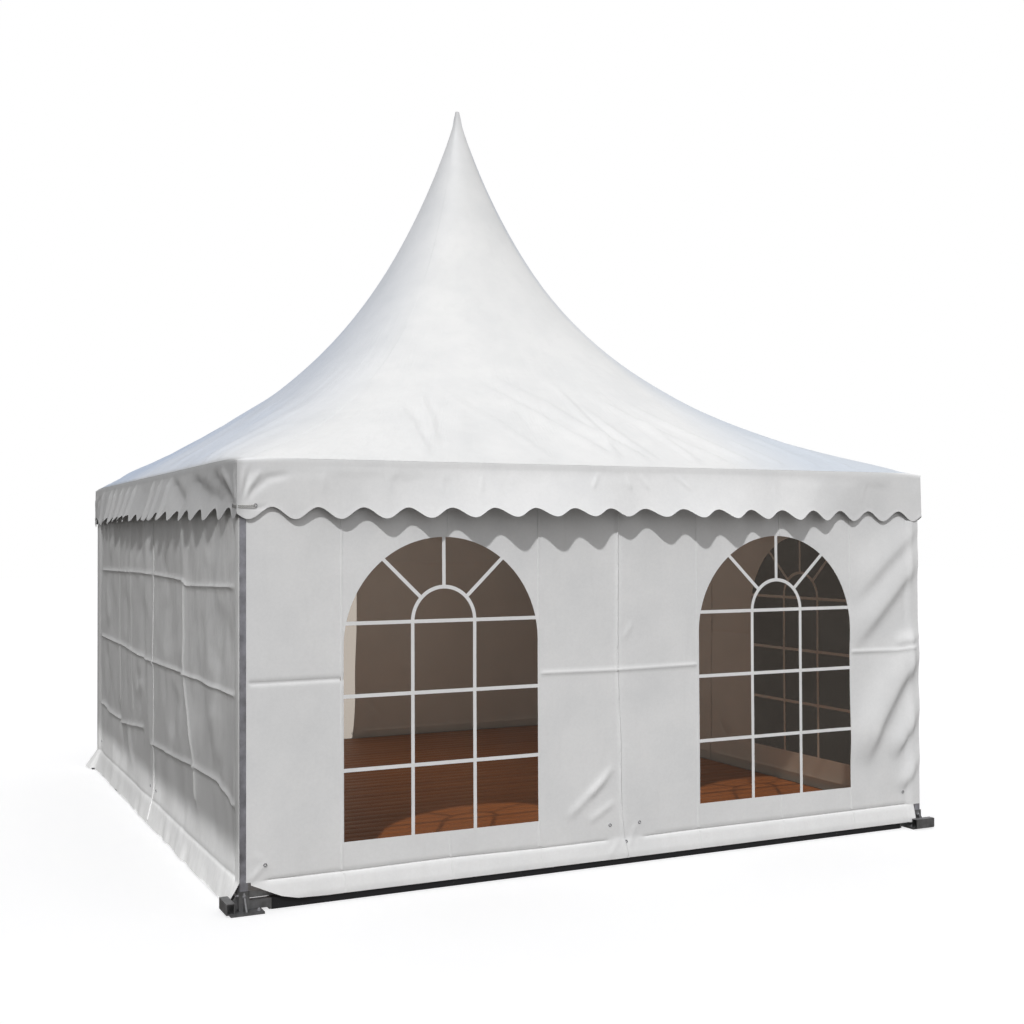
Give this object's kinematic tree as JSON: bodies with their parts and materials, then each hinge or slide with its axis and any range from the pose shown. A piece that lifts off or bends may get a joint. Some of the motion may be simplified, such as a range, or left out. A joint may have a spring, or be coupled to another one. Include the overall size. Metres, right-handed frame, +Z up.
{
  "type": "marquee tent",
  "caption": "Square white marquee tent with a sweeping pointed roof, scalloped valance, arched windows, open door bay, ground frame and timber deck.",
  "frame": {"origin": "on the ground at the centre of the square plan", "axes": "+Z up, the windowed front faces -Y, +X to the right of someone facing the front"},
  "size_m": [5.3116, 5.3116, 5.64],
  "materials": {
    "roof_fabric": "coated white cloth, satin",
    "band_fabric": "coated white cloth, satin",
    "wall_fabric": "coated white cloth, creased from folding",
    "window_film": "clear soft film, slightly wavy",
    "frame_aluminium": "anodised extrusion",
    "joint_steel": "galvanised",
    "stay_steel": "galvanised strand",
    "foot_steel": "dark, weathered zinc",
    "rail_paint": "black paint, satin",
    "deck_timber": "red-brown boards"
  },
  "bodies": {
    "root": {"roof_canopy": "roof_fabric", "valance_front": "band_fabric", "valance_right": "band_fabric", "valance_back": "band_fabric", "valance_left": "band_fabric", "wall_front_left": "wall_fabric", "wall_front_right": "wall_fabric", "wall_right_front": "wall_fabric", "wall_right_back": "wall_fabric", "wall_back_right": "wall_fabric", "wall_left_back": "wall_fabric", "wall_left_front": "wall_fabric", "door_curtain": "wall_fabric", "film_front_left": "window_film", "film_front_right": "window_film", "film_right_front": "window_film", "film_right_back": "window_film", "post_front_left": "frame_aluminium", "post_front_right": "frame_aluminium", "post_back_left": "frame_aluminium", "post_back_right": "frame_aluminium", "eave_beam_front": "frame_aluminium", "eave_beam_right": "frame_aluminium", "eave_beam_back": "frame_aluminium", "eave_beam_left": "frame_aluminium", "mast": "frame_aluminium", "mast_foot": "joint_steel", "corner_joint_front_left": "joint_steel", "corner_joint_front_right": "joint_steel", "corner_joint_back_left": "joint_steel", "corner_joint_back_right": "joint_steel", "stay_front_left": "stay_steel", "stay_front_right": "stay_steel", "stay_back_left": "stay_steel", "stay_back_right": "stay_steel", "foot_front_left": "foot_steel", "foot_front_right": "foot_steel", "foot_back_left": "foot_steel", "foot_back_right": "foot_steel", "ground_rail_front": "rail_paint", "ground_rail_right": "rail_paint", "ground_rail_back": "rail_paint", "ground_rail_left": "rail_paint", "floor_deck": "deck_timber"}
  },
  "joints": []
}
